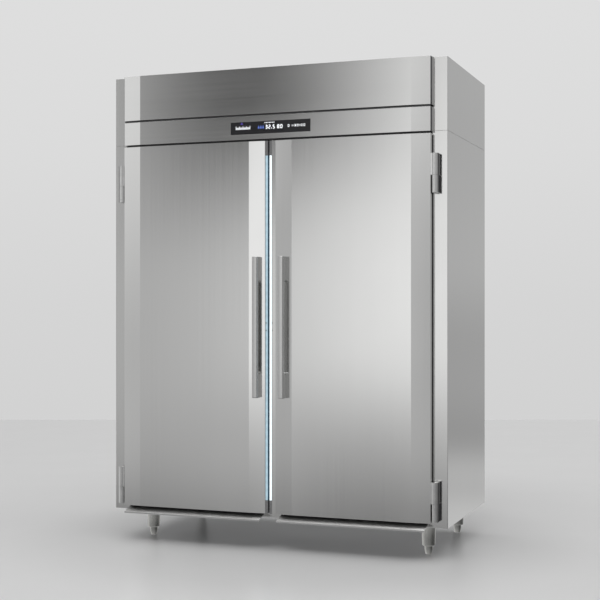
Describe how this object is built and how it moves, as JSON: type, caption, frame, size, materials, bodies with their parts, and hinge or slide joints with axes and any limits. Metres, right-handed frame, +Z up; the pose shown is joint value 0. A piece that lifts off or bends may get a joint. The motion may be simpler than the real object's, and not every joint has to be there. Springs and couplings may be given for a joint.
{
  "type": "proofing cabinet",
  "caption": "Upright insulated steel proofing cabinet with solid hinged doors over tray racks, a control fascia, a circulating fan with heater and steam, and adjustable legs.",
  "frame": {"origin": "centre of the bounding box on the floor, between the feet", "axes": "+Z up, +Y from the doors to the rear wall, +X to the right of someone facing the doors"},
  "size_m": [1.56, 0.817, 2.11],
  "materials": {
    "stainless_skin": "satin",
    "stainless_body": "satin",
    "stainless_liner": "satin",
    "stainless_duct": "satin",
    "rack_steel": "satin",
    "hinge_cast": "satin",
    "leg_steel": "satin",
    "pin_steel": "satin",
    "foam": "matte",
    "gasket_rubber": "matte",
    "edge_plastic": "satin",
    "light_lens": "gloss",
    "touch_panel": "gloss",
    "motor_paint": "satin",
    "fan_aluminium": "satin",
    "heater_sheath": "matte",
    "boiler_steel": "satin"
  },
  "bodies": {
    "cabinet": {"left_side_casing": "stainless_body", "right_side_casing": "stainless_body", "rear_casing": "stainless_body", "base_casing": "stainless_body", "foam_insulation": "foam", "inner_liner": "stainless_liner", "centre_mullion": "stainless_body", "lower_front_rail": "stainless_body", "upper_front_rail": "stainless_body", "upper_left_casing": "stainless_body", "upper_right_casing": "stainless_body", "upper_rear_casing": "stainless_body", "top_cover": "stainless_body", "header_panel": "stainless_skin", "control_fascia": "stainless_skin", "control_panel": "touch_panel", "blower_motor": "motor_paint", "heater_element": "heater_sheath", "steam_boiler": "boiler_steel", "air_duct_panel": "stainless_duct", "left_pan_rack": "rack_steel", "right_pan_rack": "rack_steel", "centre_pan_rack": "rack_steel", "left_drip_rail": "stainless_skin", "right_drip_rail": "stainless_skin", "leg_socket_front_left": "leg_steel", "leg_socket_front_right": "leg_steel", "leg_socket_rear_left": "leg_steel", "leg_socket_rear_right": "leg_steel", "left_lower_hinge_base": "hinge_cast", "left_lower_hinge_pin": "pin_steel", "left_upper_hinge_base": "hinge_cast", "left_upper_hinge_pin": "pin_steel", "right_lower_hinge_base": "hinge_cast", "right_lower_hinge_pin": "pin_steel", "right_upper_hinge_base": "hinge_cast", "right_upper_hinge_pin": "pin_steel"},
    "right_door": {"right_door_skin": "stainless_skin", "right_door_inner_pan": "stainless_liner", "right_door_core": "foam", "right_door_gasket": "gasket_rubber", "right_door_handle": "stainless_skin", "right_door_edge_profile": "edge_plastic", "right_door_light_lens": "light_lens", "right_lower_hinge_leaf": "hinge_cast", "right_upper_hinge_leaf": "hinge_cast"},
    "left_door": {"left_door_skin": "stainless_skin", "left_door_inner_pan": "stainless_liner", "left_door_core": "foam", "left_door_gasket": "gasket_rubber", "left_door_handle": "stainless_skin", "left_door_edge_profile": "edge_plastic", "left_door_light_lens": "light_lens", "left_lower_hinge_leaf": "hinge_cast", "left_upper_hinge_leaf": "hinge_cast"},
    "fan": {"fan_wheel": "fan_aluminium"},
    "foot_front_left": {"foot_front_left": "leg_steel"},
    "foot_front_right": {"foot_front_right": "leg_steel"},
    "foot_rear_left": {"foot_rear_left": "leg_steel"},
    "foot_rear_right": {"foot_rear_right": "leg_steel"}
  },
  "joints": [
    {"name": "right_door_swing", "type": "hinge", "parent": "cabinet", "child": "right_door", "pos_m": [0.7327, -0.3567, 0.9375], "axis": [0, 0, 1], "range_deg": [0, 120]},
    {"name": "left_door_swing", "type": "hinge", "parent": "cabinet", "child": "left_door", "pos_m": [-0.7327, -0.3567, 0.9375], "axis": [0, 0, -1], "range_deg": [0, 120]},
    {"name": "fan_spin", "type": "hinge", "parent": "cabinet", "child": "fan", "pos_m": [0, -0.0015, 1.7265], "axis": [0, 0, 1], "continuous": true},
    {"name": "foot_front_left_level", "type": "slide", "parent": "cabinet", "child": "foot_front_left", "axis": [0, 0, 1], "range_m": [-0.012, 0.012]},
    {"name": "foot_front_right_level", "type": "slide", "parent": "cabinet", "child": "foot_front_right", "axis": [0, 0, 1], "range_m": [-0.012, 0.012]},
    {"name": "foot_rear_left_level", "type": "slide", "parent": "cabinet", "child": "foot_rear_left", "axis": [0, 0, 1], "range_m": [-0.012, 0.012]},
    {"name": "foot_rear_right_level", "type": "slide", "parent": "cabinet", "child": "foot_rear_right", "axis": [0, 0, 1], "range_m": [-0.012, 0.012]}
  ]
}
